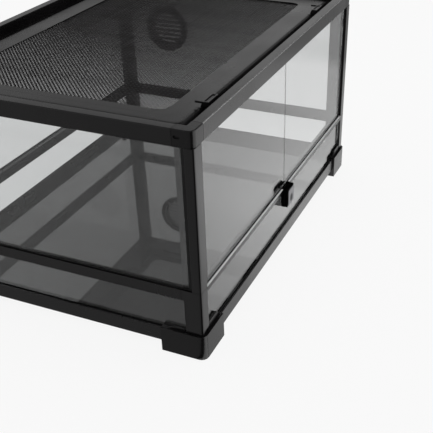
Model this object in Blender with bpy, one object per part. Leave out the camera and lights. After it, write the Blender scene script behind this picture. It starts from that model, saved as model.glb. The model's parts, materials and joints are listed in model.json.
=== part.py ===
"""A knock-down glass terrarium with two front doors and a lift-off mesh lid.

Metres, +Z up. The doors face -Y and the length runs along X. The origin is on the
floor, in the middle of the whole, lock and feet included. Heights are measured from
the floor. A depth is measured inwards from the frame's outer face on its own side.
"""
import math

import bmesh
import bpy
from mathutils import Matrix, Vector

MM = 0.001

# Driving dimensions
FRAME_LENGTH = 603 * MM
FRAME_DEPTH = 450 * MM
FRAME_BOTTOM = 14 * MM
FRAME_TOP = 320 * MM
BAR_HEIGHT = 21 * MM
MID_BOTTOM = 87.5 * MM
MID_TOP = 103.2 * MM
GAP = 0.3 * MM
GLASS = 4 * MM

# Glazing: where a pane stands in its groove, as depths from the outer face
GROOVE_OUTER = 3.5 * MM
GROOVE_INNER = 8.1 * MM
PANE_DEPTH = 3.8 * MM
PANE_BITE = 3.2 * MM

# Posts: an outer block that shows, and a flange behind the panes
POST_FRONT = 18 * MM
POST_SIDE = 12.5 * MM
LOWER_POST_SIDE = 24.5 * MM
POST_FLANGE = 28 * MM
FLANGE_DEPTH = 8.3 * MM
DOOR_FLANGE_DEPTH = 10 * MM
CORNER_RADIUS = 4 * MM
PEG = (10 * MM, 16.5 * MM)
SOCKET = (9.7 * MM, 16.8 * MM)
PEG_LENGTH = 14 * MM

# Feet
FOOT_SKIN = 3.5 * MM
FOOT_FRONT_ARM = 55 * MM
FOOT_SIDE_ARM = 60 * MM
FOOT_WIDTH = 30 * MM
FOOT_RADIUS = 10 * MM
FOOT_LIP_TOP = 37.5 * MM
FOOT_STEP = (2 * MM, 1.5 * MM)
TAB_TOP = 47.5 * MM
TAB_SPAN = (20 * MM, 43 * MM, 54 * MM)
SIDE_TAB_TOP = 40.5 * MM

# Top ring, lid and clips
RIM_WIDTH = 14 * MM
LEDGE_WIDTH = 40 * MM
LEDGE_TOP = 304 * MM
CORNER_REACH = 26.5 * MM
TOP_CORNER_RADIUS = 8 * MM
RIM_RADIUS = 1.2 * MM
DIMPLE_FROM_FRONT = 20.4 * MM
DIMPLE_DROP = 9.5 * MM
DIMPLE_SIZE = (8.5 * MM, 4 * MM)
DIMPLE_DEPTH = 2.2 * MM
LID_INSET = 28.7 * MM
LID_BAR = 24.5 * MM
LID_HEIGHT = 5.7 * MM
LID_RADIUS = 8 * MM
LID_WINDOW_RADIUS = 14 * MM
LID_BROW = (8.8 * MM, 4.7 * MM)
MESH_BITE = 4.5 * MM
MESH_CELLS = (20, 14)
MESH_WIRE = 3 * MM
CLIP_SPAN = (87 * MM, 115.5 * MM)
CLIP_SHOULDER = 21.5 * MM
CLIP_BACK = 33 * MM
CLIP_TOP = FRAME_TOP - 2.7 * MM
TONGUE_TIP = 14.6 * MM
TONGUE_HEIGHT = 2.6 * MM
POCKET_DEPTH = 10.6 * MM
POCKET_SLACK = 0.5 * MM
THUMB_REACH = 40 * MM

# Doors and sill
DOOR_BOTTOM = 105.4 * MM
DOOR_TOP = 298.4 * MM
DOOR_AXIS_DEPTH = 5.9 * MM
DOOR_AXIS_SIDE = 22.2 * MM
DOOR_EDGE_RADIUS = 3.4 * MM
DOOR_GAP = 1 * MM
PIN_RADIUS = 1.8 * MM
PIN_LENGTH = 3.8 * MM
SILL_BOTTOM = 97.2 * MM
SILL_TOP = 104.4 * MM
SILL_STOP_TOP = 108 * MM
TRIM_WIDTH = 2.8 * MM
TRIM_DROP = 1.2 * MM
DRIP_GROOVE = (2.4 * MM, 2.8 * MM)

# Rubber seals on the outer face of the upper panes
SEAL_WIDTH = 5 * MM
SEAL_FOOT = 1.6 * MM
SEAL_FRONT = 2.5 * MM

# Lock
LOCK_HALF = 13.3 * MM
LOCK_BOTTOM = 74 * MM
LOCK_TOP = 104.2 * MM
LOCK_FRONT = -7.4 * MM
LOCK_FACE_FRONT = -8.5 * MM
LOCK_AXIS_HEIGHT = 86.2 * MM
CYLINDER_RADIUS = 6 * MM
LOCK_SLOTS = ((-6.2 * MM, -3.9 * MM), (-2.2 * MM, GAP + 0.5 * MM))
LOCK_WAIST = (-5.2 * MM, -2.2 * MM)

# Vents in the end panes
VENT_FROM_FRONT = 349 * MM
VENT_HEIGHT = 222 * MM
VENT_RADIUS = 41.5 * MM
VENT_TUBE = 35 * MM
VENT_SEGMENTS = 40

HALF_LENGTH = FRAME_LENGTH / 2
HALF_DEPTH = FRAME_DEPTH / 2
BASE_TOP = FRAME_BOTTOM + BAR_HEIGHT
RING_BOTTOM = FRAME_TOP - BAR_HEIGHT
FLOOR_TOP = 19.6 * MM
LID_BOTTOM = LEDGE_TOP + GAP
LID_TOP = LID_BOTTOM + LID_HEIGHT

# The lock reaches further forward than the feet reach back, so the tank is set back
SET_BACK = Vector((0, (-LOCK_FACE_FRONT - FOOT_SKIN) / 2, 0))

# Colour, roughness, metallic
LOOKS = {
    "black_frame": ((0.030, 0.029, 0.030, 1), 0.42, 0.0),
    "black_moulding": ((0.022, 0.021, 0.022, 1), 0.45, 0.0),
    "clear_glass": ((0.80, 0.84, 0.83, 1), 0.05, 0.0),
    "black_wire": ((0.020, 0.020, 0.020, 1), 0.50, 0.3),
    "black_rubber": ((0.012, 0.012, 0.012, 1), 0.60, 0.0),
    "bright_trim": ((0.75, 0.76, 0.77, 1), 0.25, 0.9),
    "grey_plate": ((0.40, 0.40, 0.42, 1), 0.40, 0.2),
    "dark_steel": ((0.08, 0.08, 0.08, 1), 0.35, 0.8),
}

CORNERS = {
    "front_left": (-1, -1),
    "front_right": (1, -1),
    "back_left": (-1, 1),
    "back_right": (1, 1),
}
SIDES = ("front", "back", "left", "right")


def clear_scene():
    for thing in list(bpy.data.objects):
        bpy.data.objects.remove(thing, do_unlink=True)


def make_material(name, look):
    colour, roughness, metallic = LOOKS[look]
    material = bpy.data.materials.new(name)
    material.use_nodes = True
    shader = material.node_tree.nodes["Principled BSDF"]
    shader.inputs["Base Color"].default_value = colour
    shader.inputs["Roughness"].default_value = roughness
    shader.inputs["Metallic"].default_value = metallic
    return material


def make_node(name, bm, look, origin=(0, 0, 0), smooth=False):
    """A named object whose mesh is bm, which is drawn round the middle of the tank."""
    bmesh.ops.translate(bm, verts=bm.verts, vec=-Vector(origin))
    bmesh.ops.recalc_face_normals(bm, faces=bm.faces)
    mesh = bpy.data.meshes.new(name)
    bm.to_mesh(mesh)
    bm.free()
    node = bpy.data.objects.new(name, mesh)
    node.location = Vector(origin) + SET_BACK
    mesh.materials.append(make_material(name + "_material", look))
    bpy.context.scene.collection.objects.link(node)
    if smooth:
        mesh.shade_smooth()
        mesh.set_sharp_from_angle(angle=math.radians(35))
    return node


def shape_with(node, bm, operation):
    """Cut bm out of a node, or join it on, with a hidden guide and a Boolean."""
    guide = make_node(f"{operation.lower()}_{node.name}_{len(node.modifiers)}", bm, "dark_steel")
    guide.hide_render = True
    guide.hide_viewport = False
    guide.display_type = "WIRE"
    boolean = node.modifiers.new(guide.name, "BOOLEAN")
    boolean.operation = operation
    boolean.solver = "EXACT"
    boolean.object = guide


def cut(node, bm):
    shape_with(node, bm, "DIFFERENCE")


def join(node, bm):
    shape_with(node, bm, "UNION")


def on_side(side, along, depth, height):
    """World place of a point on one side of the frame."""
    if side == "front":
        return Vector((along, -HALF_DEPTH + depth, height))
    if side == "back":
        return Vector((along, HALF_DEPTH - depth, height))
    if side == "left":
        return Vector((-HALF_LENGTH + depth, along, height))
    return Vector((HALF_LENGTH - depth, along, height))


def at_corner(corner, from_side, from_front, height):
    """World place of a point given from the two outer faces that meet at a corner."""
    across, through = CORNERS[corner]
    return Vector((across * (HALF_LENGTH - from_side), through * (HALF_DEPTH - from_front), height))


def prism(outline, place, start, end):
    """A closed solid: an outline swept straight from start to end."""
    bm = bmesh.new()
    ring = [bm.verts.new(place(a, b, start)) for a, b in outline]
    cap = bm.faces.new(ring)
    swept = bmesh.ops.extrude_face_region(bm, geom=[cap])["geom"]
    moved = [item for item in swept if isinstance(item, bmesh.types.BMVert)]
    bmesh.ops.translate(bm, verts=moved, vec=place(0, 0, end) - place(0, 0, start))
    bmesh.ops.recalc_face_normals(bm, faces=bm.faces)
    return bm


def side_prism(side, section, start, end):
    """A bar along one side of the frame, from a section given as (depth, height)."""
    return prism(section, lambda d, h, t: on_side(side, t, d, h), start, end)


def corner_prism(corner, plan, bottom, top):
    """An upright solid at a corner, from a plan given from the two outer faces."""
    return prism(plan, lambda a, b, t: at_corner(corner, a, b, t), bottom, top)


def rectangle(a0, a1, b0, b1):
    return [(a0, b0), (a1, b0), (a1, b1), (a0, b1)]


def round_edges(bm, wanted, radius, segments):
    """Round the edges whose two ends both satisfy wanted."""
    edges = [edge for edge in bm.edges if all(wanted(vert.co) for vert in edge.verts)]
    bmesh.ops.bevel(
        bm, geom=edges, offset=radius, offset_type="OFFSET", segments=segments,
        profile=0.5, affect="EDGES", clamp_overlap=True)


def near(value, target):
    return abs(value - target) < 1e-6


def round_upright_edge(bm, corner, from_side, from_front, radius, segments):
    spot = at_corner(corner, from_side, from_front, 0)
    round_edges(bm, lambda co: near(co.x, spot.x) and near(co.y, spot.y), radius, segments)


def lathe(outline, axis_point, axis, segments):
    """A turned solid; the outline gives (radius, distance along the axis)."""
    bm = bmesh.new()
    verts = [bm.verts.new((radius, 0, along)) for radius, along in outline]
    edges = [bm.edges.new(pair) for pair in zip(verts, verts[1:])]
    if outline[0][0] > 0:
        edges.append(bm.edges.new((verts[-1], verts[0])))
    bmesh.ops.spin(
        bm, geom=verts + edges, cent=(0, 0, 0), axis=(0, 0, 1), angle=math.tau,
        steps=segments, use_merge=True, use_duplicate=False)
    bmesh.ops.remove_doubles(bm, verts=bm.verts, dist=1e-6)
    turn = Vector((0, 0, 1)).rotation_difference(Vector(axis)).to_matrix().to_4x4()
    bmesh.ops.transform(bm, verts=bm.verts, matrix=Matrix.Translation(axis_point) @ turn)
    bmesh.ops.recalc_face_normals(bm, faces=bm.faces)
    return bm


def rounded_rectangle(half_x, half_y, radius, steps=4):
    """Points of a rectangle with round corners, the same count for any radius."""
    points = []
    for quarter in range(4):
        start = quarter * math.pi / 2
        side = Vector((math.cos(start + math.pi / 4), math.sin(start + math.pi / 4)))
        centre_x = math.copysign(half_x - radius, side.x)
        centre_y = math.copysign(half_y - radius, side.y)
        for step in range(steps + 1):
            angle = start + step * math.pi / 2 / steps
            points.append((centre_x + radius * math.cos(angle), centre_y + radius * math.sin(angle)))
    return points


def ring_solid(loops):
    """A closed ring, such as a picture frame, from loops of equal length in order."""
    bm = bmesh.new()
    rings = [[bm.verts.new(point) for point in loop] for loop in loops]
    for lower, upper in zip(rings, rings[1:] + rings[:1]):
        count = len(lower)
        for i in range(count):
            j = (i + 1) % count
            bm.faces.new((lower[i], lower[j], upper[j], upper[i]))
    bmesh.ops.recalc_face_normals(bm, faces=bm.faces)
    return bm


def step_plan(past):
    """Plan of the narrow step that runs round the foot's outer edge, parallel to its corner."""
    outside = -FOOT_SKIN - 1 * MM
    inside = -FOOT_SKIN + FOOT_STEP[0]
    centre = FOOT_RADIUS - FOOT_SKIN
    radius = centre - inside
    arc = []
    for step in range(5):
        angle = step * math.pi / 8
        arc.append((centre - radius * math.sin(angle), centre - radius * math.cos(angle)))
    return [(outside, outside), (past, outside), (past, inside)] + arc + [(inside, past), (outside, past)]


def foot_hollow(from_side, from_front):
    """Plan of the room inside the foot's skirts, cut off at the corner as the post is round."""
    edge = -GAP
    chamfer = CORNER_RADIUS / 2
    return [(edge, chamfer), (chamfer, edge), (from_side, edge), (from_side, from_front), (edge, from_front)]


def build_foot(corner):
    """A moulded corner foot: a sole, two skirts, a lip over the rails and two tabs."""
    low = -FOOT_SKIN
    width = FOOT_WIDTH
    plan = [
        (low, low), (FOOT_FRONT_ARM, low), (FOOT_FRONT_ARM, width), (width, width),
        (width, FOOT_SIDE_ARM), (low, FOOT_SIDE_ARM)]
    body = corner_prism(corner, plan, 0, FOOT_LIP_TOP)
    round_upright_edge(body, corner, low, low, FOOT_RADIUS, 4)
    foot = make_node(f"foot_{corner}", body, "black_moulding")
    sole = FRAME_BOTTOM - GAP
    past = FOOT_SIDE_ARM + 1 * MM
    under_rails = foot_hollow(past, past)
    cut(foot, corner_prism(corner, under_rails, sole, BASE_TOP + GAP))
    inside_lip = rectangle(GROOVE_OUTER, past, GROOVE_OUTER, past)
    cut(foot, corner_prism(corner, inside_lip, BASE_TOP, FOOT_LIP_TOP + 1 * MM))
    post = foot_hollow(POST_FRONT + GAP, LOWER_POST_SIDE + GAP)
    cut(foot, corner_prism(corner, post, sole, FOOT_LIP_TOP + 1 * MM))
    cut(foot, corner_prism(corner, step_plan(past), FOOT_LIP_TOP - FOOT_STEP[1], FOOT_LIP_TOP + 1 * MM))
    tab_low = BASE_TOP + 1 * MM
    start, shoulder, end = TAB_SPAN
    thin, thick = 0.5 * MM, 3.4 * MM
    front_tab = [(start, tab_low), (start, TAB_TOP), (shoulder, TAB_TOP), (end, tab_low)]
    join(foot, prism(front_tab, lambda a, h, t: at_corner(corner, a, t, h), thin, thick))
    start = LOWER_POST_SIDE + 2 * MM
    side_tab = [(start, tab_low), (start, SIDE_TAB_TOP), (shoulder, SIDE_TAB_TOP), (end, tab_low)]
    join(foot, prism(side_tab, lambda a, h, t: at_corner(corner, t, a, h), thin, thick))
    join(foot, corner_prism(corner, rectangle(*PEG, *PEG), sole - 1 * MM, sole + PEG_LENGTH))


def post_plan(side_width, flange_from_front):
    """Plan of a post: the outer block, then the flange behind both panes."""
    return [
        (0, 0), (POST_FRONT, 0), (POST_FRONT, flange_from_front), (POST_FLANGE, flange_from_front),
        (POST_FLANGE, POST_FLANGE), (FLANGE_DEPTH, POST_FLANGE), (FLANGE_DEPTH, side_width),
        (0, side_width)]


def flange_from_front(corner):
    return DOOR_FLANGE_DEPTH if corner.startswith("front") else FLANGE_DEPTH


def build_lower_post(corner):
    """The lower corner column, with stubs that carry the mid rails and a peg on top."""
    bottom = FRAME_BOTTOM + GAP
    plan = post_plan(LOWER_POST_SIDE, flange_from_front(corner))
    body = corner_prism(corner, plan, bottom, MID_TOP)
    round_upright_edge(body, corner, 0, 0, CORNER_RADIUS, 3)
    post = make_node(f"lower_post_{corner}", body, "black_frame")
    section = mid_rail_section()
    reach = LOWER_POST_SIDE - 1 * MM
    join(post, prism(section, lambda d, h, t: at_corner(corner, d, t, h), reach, POST_FLANGE))
    if corner.startswith("back"):
        reach = POST_FRONT - 1 * MM
        join(post, prism(section, lambda d, h, t: at_corner(corner, t, d, h), reach, POST_FLANGE))
    groove = rectangle(GROOVE_OUTER, GROOVE_INNER, POST_SIDE, POST_FLANGE + 1 * MM)
    cut(post, corner_prism(corner, groove, MID_TOP - PANE_BITE - 1.5 * MM, MID_TOP + 1 * MM))
    cut(post, corner_prism(corner, rectangle(*SOCKET, *SOCKET), 0, bottom + PEG_LENGTH + 1 * MM))
    join(post, corner_prism(corner, rectangle(*PEG, *PEG), MID_TOP - 1 * MM, MID_TOP + PEG_LENGTH))


def build_upper_post(corner):
    """The upper corner post, an extrusion open at both ends for the pegs."""
    plan = post_plan(POST_SIDE, flange_from_front(corner))
    body = corner_prism(corner, plan, MID_TOP + GAP, RING_BOTTOM - GAP)
    round_upright_edge(body, corner, 0, 0, CORNER_RADIUS, 3)
    post = make_node(f"upper_post_{corner}", body, "black_frame")
    cut(post, corner_prism(corner, rectangle(*SOCKET, *SOCKET), MID_TOP - 1 * MM, FRAME_TOP))


def stadium(middle, height, length, width):
    """A long round-ended outline, as round a sunk screw or a release slot."""
    radius = width / 2
    points = []
    for end in (1, -1):
        centre = middle + end * (length / 2 - radius)
        for step in range(5):
            angle = -math.pi / 2 + step * math.pi / 4
            points.append((centre + end * radius * math.cos(angle), height + end * radius * math.sin(angle)))
    return points


def build_top_corner(corner):
    """The moulded three-way connector, with a peg down into its post."""
    plan = rectangle(0, CORNER_REACH, 0, CORNER_REACH)
    body = corner_prism(corner, plan, RING_BOTTOM, FRAME_TOP)
    round_upright_edge(body, corner, 0, 0, TOP_CORNER_RADIUS, 4)
    inner = at_corner(corner, CORNER_REACH, CORNER_REACH, 0)

    def on_outer_rim(co):
        return near(co.z, FRAME_TOP) and not (near(co.x, inner.x) and near(co.y, inner.y))

    round_edges(body, on_outer_rim, RIM_RADIUS, 3)
    block = make_node(f"top_corner_{corner}", body, "black_moulding")
    past = CORNER_REACH + 1 * MM
    recess = rectangle(RIM_WIDTH, past, RIM_WIDTH, past)
    cut(block, corner_prism(corner, recess, LEDGE_TOP, FRAME_TOP + 1 * MM))
    groove = (RING_BOTTOM - 1 * MM, RING_BOTTOM + GROOVE_OUTER)
    cut(block, corner_prism(corner, rectangle(GROOVE_OUTER, GROOVE_INNER, POST_SIDE, past), *groove))
    if corner.startswith("back"):
        cut(block, corner_prism(corner, rectangle(POST_FRONT, past, GROOVE_OUTER, GROOVE_INNER), *groove))
    else:
        across = CORNERS[corner][0]
        cut(block, pin_hole(across, RING_BOTTOM - 1 * MM, DOOR_TOP + PIN_LENGTH + GAP))
    peg_foot = RING_BOTTOM - PEG_LENGTH
    join(block, corner_prism(corner, rectangle(*PEG, *PEG), peg_foot, RING_BOTTOM + 1 * MM))
    dimple = stadium(DIMPLE_FROM_FRONT, FRAME_TOP - DIMPLE_DROP, *DIMPLE_SIZE)
    cut(block, prism(dimple, lambda a, h, t: at_corner(corner, t, a, h), -1 * MM, DIMPLE_DEPTH))


def top_rail_section(grooved):
    """Rim, lid ledge and, on the glazed sides, the groove for the pane's top edge."""
    start = [(0, RING_BOTTOM)]
    if grooved:
        roof = RING_BOTTOM + GROOVE_OUTER
        start += [
            (GROOVE_OUTER, RING_BOTTOM), (GROOVE_OUTER, roof), (GROOVE_INNER, roof),
            (GROOVE_INNER, RING_BOTTOM)]
    return start + [
        (LEDGE_WIDTH, RING_BOTTOM), (LEDGE_WIDTH, LEDGE_TOP), (RIM_WIDTH, LEDGE_TOP),
        (RIM_WIDTH, FRAME_TOP), (0, FRAME_TOP)]


def clip_places():
    """The lid clips: name, side, and the span along that side."""
    for corner, (across, through) in CORNERS.items():
        side = "front" if through < 0 else "back"
        ends = sorted(across * (HALF_LENGTH - reach) for reach in CLIP_SPAN)
        yield f"lid_clip_{corner}", side, ends


def build_top_rail(side):
    lengthwise = side in ("front", "back")
    end = (HALF_LENGTH if lengthwise else HALF_DEPTH) - CORNER_REACH - GAP
    body = side_prism(side, top_rail_section(side != "front"), -end, end)
    outer_edge = on_side(side, 0, 0, FRAME_TOP)
    inner_edge = on_side(side, 0, RIM_WIDTH, FRAME_TOP)
    axis = 1 if lengthwise else 0
    for edge in (outer_edge, inner_edge):
        round_edges(
            body, lambda co: near(co.z, FRAME_TOP) and near(co[axis], edge[axis]), RIM_RADIUS, 3)
    rail = make_node(f"top_rail_{side}", body, "black_frame")
    if lengthwise:
        for _, clip_side, (low, high) in clip_places():
            if clip_side == side:
                foot = LID_TOP + GAP - POCKET_SLACK
                roof = LID_TOP + GAP + TONGUE_HEIGHT + POCKET_SLACK
                pocket = rectangle(POCKET_DEPTH, RIM_WIDTH + 1 * MM, foot, roof)
                cut(rail, side_prism(side, pocket, low - POCKET_SLACK, high + POCKET_SLACK))
        return
    for sign in (-1, 1):
        notch = rectangle(CORNER_REACH, LEDGE_WIDTH + 1 * MM, 0, LEDGE_TOP + GAP)
        near_end = sign * (HALF_DEPTH - LEDGE_WIDTH - GAP)
        far_end = sign * (HALF_DEPTH - 10 * MM)
        cut(rail, side_prism(side, notch, min(near_end, far_end), max(near_end, far_end)))


def build_base_rail(side):
    """A base extrusion: outer wall, pane groove, inner lip and the shelf for the floor."""
    lip = 29 * MM
    groove_foot = BASE_TOP - 11 * MM
    shelf = FRAME_BOTTOM + 1.3 * MM
    inner = 11 * MM
    section = [
        (0, FRAME_BOTTOM), (POST_FLANGE, FRAME_BOTTOM), (POST_FLANGE, shelf), (inner, shelf),
        (inner, lip), (GROOVE_INNER, lip), (GROOVE_INNER, groove_foot),
        (GROOVE_OUTER, groove_foot), (GROOVE_OUTER, BASE_TOP), (0, BASE_TOP)]
    half = HALF_LENGTH if side in ("front", "back") else HALF_DEPTH
    end = half - POST_FLANGE - GAP
    body = side_prism(side, section, -end, end)
    make_node(f"base_rail_{side}", body, "black_frame")


def mid_rail_section():
    """An H-shaped glazing bar that takes the lower pane from below and the upper from above."""
    inner = 14 * MM
    low_roof = MID_BOTTOM + PANE_BITE + 1.3 * MM
    high_floor = MID_TOP - PANE_BITE - 1.5 * MM
    return [
        (0, MID_BOTTOM), (GROOVE_OUTER, MID_BOTTOM), (GROOVE_OUTER, low_roof),
        (GROOVE_INNER, low_roof), (GROOVE_INNER, MID_BOTTOM), (inner, MID_BOTTOM),
        (inner, MID_TOP), (GROOVE_INNER, MID_TOP), (GROOVE_INNER, high_floor),
        (GROOVE_OUTER, high_floor), (GROOVE_OUTER, MID_TOP), (0, MID_TOP)]


def build_mid_rail(side):
    half = HALF_LENGTH if side == "back" else HALF_DEPTH
    end = half - POST_FLANGE - GAP
    body = side_prism(side, mid_rail_section(), -end, end)
    make_node(f"mid_rail_{side}", body, "black_frame")


def pin_hole(sign, bottom, top):
    """A cutter for one door pin's socket."""
    centre = Vector((sign * (HALF_LENGTH - DOOR_AXIS_SIDE), -HALF_DEPTH + DOOR_AXIS_DEPTH, bottom))
    radius = PIN_RADIUS + GAP
    height = top - bottom
    return lathe([(0, 0), (radius, 0), (radius, height), (0, height)], centre, (0, 0, 1), 12)


def build_sill():
    """The rail under the doors: pane groove, door stop, drip groove, trim rebate, lock notch."""
    roof = SILL_BOTTOM + 2.8 * MM
    stop = 10.2 * MM
    inner = 14 * MM
    low = SILL_BOTTOM - 2.2 * MM
    groove_end = TRIM_WIDTH + DRIP_GROOVE[0]
    groove_floor = SILL_TOP - DRIP_GROOVE[1]
    section = [
        (0, SILL_BOTTOM), (GROOVE_OUTER, SILL_BOTTOM), (GROOVE_OUTER, roof), (GROOVE_INNER, roof),
        (GROOVE_INNER, low), (inner, low), (inner, SILL_STOP_TOP), (stop, SILL_STOP_TOP),
        (stop, SILL_TOP), (groove_end, SILL_TOP), (groove_end, groove_floor),
        (TRIM_WIDTH, groove_floor), (TRIM_WIDTH, SILL_TOP - TRIM_DROP), (0, SILL_TOP - TRIM_DROP)]
    end = HALF_LENGTH - POST_FRONT - GAP
    sill = make_node("door_sill", side_prism("front", section, -end, end), "black_frame")
    behind = rectangle(DOOR_FLANGE_DEPTH - GAP, 20 * MM, low - 1 * MM, SILL_STOP_TOP + 1 * MM)
    for sign in (-1, 1):
        tips = sorted((sign * (end + 1 * MM), sign * (HALF_LENGTH - POST_FLANGE - GAP)))
        cut(sill, side_prism("front", behind, *tips))
        cut(sill, pin_hole(sign, DOOR_BOTTOM - PIN_LENGTH - GAP, SILL_TOP + 1 * MM))
    notch = rectangle(-1 * MM, GROOVE_OUTER + 0.15 * MM, low, SILL_STOP_TOP)
    cut(sill, side_prism("front", notch, -LOCK_HALF - GAP, LOCK_HALF + GAP))
    for name, sign in (("left", -1), ("right", 1)):
        tips = sorted((sign * (end - GAP), sign * (LOCK_HALF + 2 * GAP)))
        bar = rectangle(0.2 * MM, TRIM_WIDTH - GAP, SILL_TOP - TRIM_DROP + GAP, SILL_TOP + GAP)
        body = side_prism("front", bar, *tips)
        crest = on_side("front", 0, 0.2 * MM, SILL_TOP + GAP)
        round_edges(body, lambda co: near(co.y, crest.y) and near(co.z, crest.z), 0.6 * MM, 2)
        make_node(f"sill_trim_{name}", body, "bright_trim")


def pane(name, side, start, end, bottom, top):
    section = rectangle(PANE_DEPTH, PANE_DEPTH + GLASS, bottom, top)
    return make_node(name, side_prism(side, section, start, end), "clear_glass")


def vent_centre(side, depth):
    return on_side(side, -HALF_DEPTH + VENT_FROM_FRONT, depth, VENT_HEIGHT)


def inward(side):
    return Vector((1, 0, 0)) if side == "left" else Vector((-1, 0, 0))


def build_panes():
    base = BASE_TOP - 10.7 * MM
    lower_top = MID_BOTTOM + PANE_BITE + 1.0 * MM
    upper_base = MID_TOP - PANE_BITE - 1.2 * MM
    upper_top = RING_BOTTOM + PANE_BITE
    wide = HALF_LENGTH - POST_FRONT - GAP
    pane("pane_front_lower", "front", -wide, wide, base, SILL_BOTTOM + 2.5 * MM)
    pane("pane_back_lower", "back", -wide, wide, base, lower_top)
    pane("pane_back_upper", "back", -wide, wide, upper_base, upper_top)
    for side in ("left", "right"):
        low_end = HALF_DEPTH - LOWER_POST_SIDE - GAP
        high_end = HALF_DEPTH - POST_SIDE - GAP
        pane(f"pane_{side}_lower", side, -low_end, low_end, base, lower_top)
        upper = pane(f"pane_{side}_upper", side, -high_end, high_end, upper_base, upper_top)
        hole = VENT_TUBE + 0.4 * MM
        drill = [(0, 0), (hole, 0), (hole, 14 * MM), (0, 14 * MM)]
        cut(upper, lathe(drill, vent_centre(side, 0), inward(side), VENT_SEGMENTS))


def build_seal(side):
    """A rubber seal round the outer face of an upper pane, inside posts and rails."""
    if side == "back":
        end = HALF_LENGTH - POST_FRONT - GAP
    else:
        end = HALF_DEPTH - POST_SIDE - GAP
    low, high = MID_TOP + GAP, RING_BOTTOM - GAP
    outline = rectangle(SEAL_FRONT, GROOVE_OUTER, low, high)
    seal = make_node(f"pane_seal_{side}", side_prism(side, outline, -end, end), "black_rubber")
    opening = rectangle(SEAL_FRONT - 1 * MM, GROOVE_OUTER + 1 * MM, low + SEAL_FOOT, high - SEAL_FOOT)
    cut(seal, side_prism(side, opening, SEAL_WIDTH - end, end - SEAL_WIDTH))


def build_floor():
    """The glass floor, notched round the four posts."""
    long, short = HALF_LENGTH - 11.4 * MM, HALF_DEPTH - 11.4 * MM
    notch = POST_FLANGE - 11 * MM
    plan = []
    for x_sign, y_sign, x_first in ((-1, -1, True), (1, -1, False), (1, 1, True), (-1, 1, False)):
        x_edge, y_edge = x_sign * long, y_sign * short
        x_in, y_in = x_sign * (long - notch), y_sign * (short - notch)
        corner = [(x_edge, y_in), (x_in, y_in), (x_in, y_edge)]
        plan += corner if x_first else corner[::-1]
    body = prism(plan, lambda x, y, z: Vector((x, y, z)), FLOOR_TOP - GLASS, FLOOR_TOP)
    make_node("floor_pane", body, "clear_glass")


def build_vent(side):
    """A flanged round vent with slots, and the ring that clamps it to the pane."""
    flange = GROOVE_OUTER
    disc = 1.6 * MM
    profile = [
        (0, disc), (31 * MM, disc), (33 * MM, 0.5 * MM), (VENT_RADIUS - 1 * MM, 0.9 * MM),
        (VENT_RADIUS, 1.9 * MM), (VENT_RADIUS, flange), (VENT_TUBE, flange),
        (VENT_TUBE, 11.5 * MM), (VENT_TUBE - 2.4 * MM, 11.5 * MM),
        (VENT_TUBE - 2.4 * MM, disc + 1.6 * MM), (0, disc + 1.6 * MM)]
    body = lathe(profile, vent_centre(side, 0), inward(side), VENT_SEGMENTS)
    vent = make_node(f"vent_{side}", body, "black_moulding", smooth=True)
    slots = bmesh.new()
    pitch, width = 8 * MM, 3.2 * MM
    middle = vent_centre(side, 0)
    for row in range(-3, 4):
        height = row * pitch
        reach = math.sqrt((28 * MM) ** 2 - height ** 2)
        slot = bmesh.ops.create_cube(slots, size=1)["verts"]
        bmesh.ops.scale(slots, verts=slot, vec=(16 * MM, 2 * reach, width))
        bmesh.ops.translate(slots, verts=slot, vec=middle + Vector((0, 0, height)))
    cut(vent, slots)
    bore = VENT_TUBE + 0.3 * MM
    ring = [(bore, 8.1 * MM), (VENT_RADIUS, 8.1 * MM), (VENT_RADIUS, 10.2 * MM),
            (VENT_RADIUS - 1 * MM, 11 * MM), (bore, 11 * MM)]
    collar = lathe(ring, vent_centre(side, 0), inward(side), VENT_SEGMENTS)
    make_node(f"vent_ring_{side}", collar, "black_moulding", smooth=True)


def build_door(name, sign):
    """A glass leaf in a bull-nosed edge strip that carries the two hinge pins."""
    axis = Vector((sign * (HALF_LENGTH - DOOR_AXIS_SIDE), -HALF_DEPTH + DOOR_AXIS_DEPTH, 0))
    toward_middle = -sign

    def place(along, depth, height):
        return axis + Vector((toward_middle * along, depth, height))

    leaf_start = PIN_RADIUS + 2 * GAP
    leaf_end = HALF_LENGTH - DOOR_AXIS_SIDE - DOOR_GAP / 2
    leaf = rectangle(leaf_start, leaf_end, -GLASS / 2, GLASS / 2)
    middle = axis + Vector((0, 0, (DOOR_BOTTOM + DOOR_TOP) / 2))
    glass = prism(leaf, place, DOOR_BOTTOM, DOOR_TOP)
    make_node(f"door_glass_{name}", glass, "clear_glass", origin=middle)
    radius = DOOR_EDGE_RADIUS
    nose = []
    for step in range(9):
        angle = math.pi / 2 + step * math.pi / 8
        nose.append((radius * math.cos(angle), radius * math.sin(angle)))
    slot = GLASS / 2 + GAP
    channel = nose + [
        (3.2 * MM, -radius), (3.2 * MM, -slot), (leaf_start - GAP, -slot),
        (leaf_start - GAP, slot), (5.2 * MM, slot), (5.2 * MM, radius)]
    body = prism(channel, place, DOOR_BOTTOM, DOOR_TOP)
    strip = make_node(f"door_edge_{name}", body, "black_frame", origin=middle)
    for bottom, top in ((DOOR_BOTTOM - PIN_LENGTH, DOOR_BOTTOM + 1 * MM),
                        (DOOR_TOP - 1 * MM, DOOR_TOP + PIN_LENGTH)):
        height = top - bottom
        pin = [(0, 0), (PIN_RADIUS, 0), (PIN_RADIUS, height), (0, height)]
        join(strip, lathe(pin, axis + Vector((0, 0, bottom)), (0, 0, 1), 12))
    if name == "left":
        build_door_catch(place, middle, leaf_end)


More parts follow.
